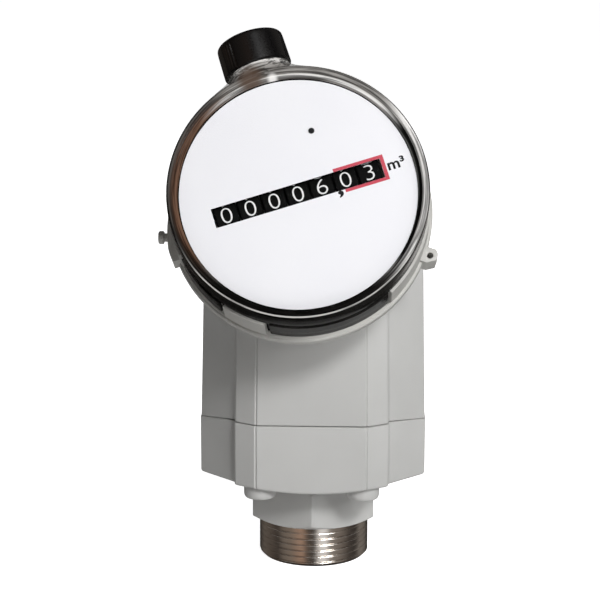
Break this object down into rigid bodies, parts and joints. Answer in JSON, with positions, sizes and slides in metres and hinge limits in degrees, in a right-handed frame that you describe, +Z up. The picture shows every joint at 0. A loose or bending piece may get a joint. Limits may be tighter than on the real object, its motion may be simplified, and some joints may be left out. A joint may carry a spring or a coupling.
{
  "type": "turbine gas meter",
  "caption": "Threaded in-line turbine gas meter: faceted cast body, spanner hexagons and a round index head that turns on a tilted neck.",
  "frame": {"origin": "centre of the lower thread's end face, on the flow axis", "axes": "+Z up along the flow axis, -Y the way the index looks, +X to the right as the index is read"},
  "size_m": [0.0973, 0.1422, 0.2051],
  "materials": {
    "painted_casting": "light grey paint on a die casting",
    "grey_plastic": "matt moulded",
    "black_plastic": "satin moulded",
    "dial_white": "printed sheet",
    "natural_plastic": "moulded acetal",
    "steel": "turned",
    "magnet": "sintered ferrite",
    "rubber": "nitrile",
    "clear_plastic": "clear polycarbonate"
  },
  "bodies": {
    "meter_body": {"inlet_housing": "painted_casting", "main_housing": "painted_casting", "housing_seal": "rubber", "housing_screw_1": "steel", "housing_screw_2": "steel", "housing_screw_3": "steel", "housing_screw_4": "steel", "flow_straightener": "natural_plastic", "outlet_body": "natural_plastic", "lower_bearing": "steel", "upper_bearing": "steel", "bearing_plate": "natural_plastic", "gear_carrier": "natural_plastic", "pressure_plate": "natural_plastic", "pressure_seal": "rubber", "clamp_ring": "steel", "retaining_clip": "steel"},
    "rotor": {"turbine_wheel": "natural_plastic", "rotor_shaft": "steel"},
    "transfer": {"transfer_shaft": "steel"},
    "magnet_drive": {"magnet_shaft": "steel", "drive_magnet": "magnet"},
    "index_head": {"index_cup": "grey_plastic", "clear_cover": "clear_plastic", "cover_seal": "rubber", "dial_plate": "dial_white", "dial_ring": "black_plastic", "counter_frame": "steel", "counter_shaft": "steel", "carry_shaft": "steel", "sealing_pin": "steel"},
    "magnet_follower": {"follower_shaft": "steel", "follower_magnet": "magnet"},
    "index_worm": {"index_worm": "steel"},
    "arbor": {"drive_arbor": "steel"},
    "cap": {"spout_cap": "black_plastic", "cap_seal": "rubber"},
    "counter_wheel_7": {"number_wheel_7": "black_plastic"},
    "counter_wheel_6": {"number_wheel_6": "black_plastic"},
    "counter_wheel_5": {"number_wheel_5": "black_plastic"},
    "counter_wheel_4": {"number_wheel_4": "black_plastic"},
    "counter_wheel_3": {"number_wheel_3": "black_plastic"},
    "counter_wheel_2": {"number_wheel_2": "black_plastic"},
    "counter_wheel_1": {"number_wheel_1": "black_plastic"},
    "carry_6": {"carry_pinion_6": "natural_plastic"},
    "carry_5": {"carry_pinion_5": "natural_plastic"},
    "carry_4": {"carry_pinion_4": "natural_plastic"},
    "carry_3": {"carry_pinion_3": "natural_plastic"},
    "carry_2": {"carry_pinion_2": "natural_plastic"},
    "carry_1": {"carry_pinion_1": "natural_plastic"}
  },
  "joints": [
    {"name": "rotor_spin", "type": "hinge", "parent": "meter_body", "child": "rotor", "pos_m": [0, 0, 0.0855], "axis": [0, 0, 1], "continuous": true},
    {"name": "transfer_spin", "type": "hinge", "parent": "meter_body", "child": "transfer", "pos_m": [0.007, -0.0512, 0.1392], "axis": [0, -0.9063, 0.4226], "continuous": true},
    {"name": "magnet_spin", "type": "hinge", "parent": "meter_body", "child": "magnet_drive", "pos_m": [-0.0036, -0.0512, 0.1392], "axis": [0, -0.9063, 0.4226], "continuous": true},
    {"name": "head_turn", "type": "hinge", "parent": "meter_body", "child": "index_head", "pos_m": [-0.0036, -0.0512, 0.1392], "axis": [0, -0.9063, 0.4226], "range_deg": [-177.5, 177.5]},
    {"name": "follower_spin", "type": "hinge", "parent": "index_head", "child": "magnet_follower", "pos_m": [-0.0036, -0.0512, 0.1392], "axis": [0, -0.9063, 0.4226], "continuous": true},
    {"name": "index_worm_spin", "type": "hinge", "parent": "index_head", "child": "index_worm", "pos_m": [0.0086, -0.05886, 0.12278], "axis": [0, -0.9063, 0.4226], "continuous": true},
    {"name": "arbor_spin", "type": "hinge", "parent": "index_head", "child": "arbor", "pos_m": [0.00122, -0.07469, 0.13378], "axis": [0.9511, 0.1306, 0.2801], "continuous": true},
    {"name": "cap_lift", "type": "slide", "parent": "index_head", "child": "cap", "axis": [-0.309, 0.4019, 0.8619], "range_m": [0, 0.025]},
    {"name": "wheel_7_spin", "type": "hinge", "parent": "index_head", "child": "counter_wheel_7", "pos_m": [-0.0036, -0.06842, 0.14723], "axis": [0.9511, 0.1306, 0.2801], "continuous": true},
    {"name": "wheel_6_spin", "type": "hinge", "parent": "index_head", "child": "counter_wheel_6", "pos_m": [-0.0036, -0.06842, 0.14723], "axis": [0.9511, 0.1306, 0.2801], "continuous": true},
    {"name": "wheel_5_spin", "type": "hinge", "parent": "index_head", "child": "counter_wheel_5", "pos_m": [-0.0036, -0.06842, 0.14723], "axis": [0.9511, 0.1306, 0.2801], "continuous": true},
    {"name": "wheel_4_spin", "type": "hinge", "parent": "index_head", "child": "counter_wheel_4", "pos_m": [-0.0036, -0.06842, 0.14723], "axis": [0.9511, 0.1306, 0.2801], "continuous": true},
    {"name": "wheel_3_spin", "type": "hinge", "parent": "index_head", "child": "counter_wheel_3", "pos_m": [-0.0036, -0.06842, 0.14723], "axis": [0.9511, 0.1306, 0.2801], "continuous": true},
    {"name": "wheel_2_spin", "type": "hinge", "parent": "index_head", "child": "counter_wheel_2", "pos_m": [-0.0036, -0.06842, 0.14723], "axis": [0.9511, 0.1306, 0.2801], "continuous": true},
    {"name": "wheel_1_spin", "type": "hinge", "parent": "index_head", "child": "counter_wheel_1", "pos_m": [-0.0036, -0.06842, 0.14723], "axis": [0.9511, 0.1306, 0.2801], "continuous": true},
    {"name": "carry_6_spin", "type": "hinge", "parent": "index_head", "child": "carry_6", "pos_m": [-0.00685, -0.05805, 0.15341], "axis": [0.9511, 0.1306, 0.2801], "continuous": true},
    {"name": "carry_5_spin", "type": "hinge", "parent": "index_head", "child": "carry_5", "pos_m": [-0.00685, -0.05805, 0.15341], "axis": [0.9511, 0.1306, 0.2801], "continuous": true},
    {"name": "carry_4_spin", "type": "hinge", "parent": "index_head", "child": "carry_4", "pos_m": [-0.00685, -0.05805, 0.15341], "axis": [0.9511, 0.1306, 0.2801], "continuous": true},
    {"name": "carry_3_spin", "type": "hinge", "parent": "index_head", "child": "carry_3", "pos_m": [-0.00685, -0.05805, 0.15341], "axis": [0.9511, 0.1306, 0.2801], "continuous": true},
    {"name": "carry_2_spin", "type": "hinge", "parent": "index_head", "child": "carry_2", "pos_m": [-0.00685, -0.05805, 0.15341], "axis": [0.9511, 0.1306, 0.2801], "continuous": true},
    {"name": "carry_1_spin", "type": "hinge", "parent": "index_head", "child": "carry_1", "pos_m": [-0.00685, -0.05805, 0.15341], "axis": [0.9511, 0.1306, 0.2801], "continuous": true}
  ],
  "couplings": [
    {"joint": "transfer_spin", "follows": "rotor_spin", "ratio": 0.083333},
    {"joint": "magnet_spin", "follows": "rotor_spin", "ratio": -0.034722},
    {"joint": "follower_spin", "follows": "rotor_spin", "ratio": -0.034722},
    {"joint": "index_worm_spin", "follows": "rotor_spin", "ratio": 0.014468},
    {"joint": "arbor_spin", "follows": "rotor_spin", "ratio": 0.0018084},
    {"joint": "wheel_7_spin", "follows": "rotor_spin", "ratio": -0.0013262},
    {"joint": "wheel_6_spin", "follows": "rotor_spin", "ratio": -0.00013262},
    {"joint": "wheel_5_spin", "follows": "rotor_spin", "ratio": -0.000013262},
    {"joint": "wheel_4_spin", "follows": "rotor_spin", "ratio": -0.0000013262},
    {"joint": "wheel_3_spin", "follows": "rotor_spin", "ratio": -0.00000013262},
    {"joint": "wheel_2_spin", "follows": "rotor_spin", "ratio": -0.000000013262},
    {"joint": "wheel_1_spin", "follows": "rotor_spin", "ratio": -0.0000000013262},
    {"joint": "carry_6_spin", "follows": "rotor_spin", "ratio": 0.00044207},
    {"joint": "carry_5_spin", "follows": "rotor_spin", "ratio": 0.000044207},
    {"joint": "carry_4_spin", "follows": "rotor_spin", "ratio": 0.0000044207},
    {"joint": "carry_3_spin", "follows": "rotor_spin", "ratio": 0.00000044207},
    {"joint": "carry_2_spin", "follows": "rotor_spin", "ratio": 0.000000044207},
    {"joint": "carry_1_spin", "follows": "rotor_spin", "ratio": 0.0000000044206}
  ]
}
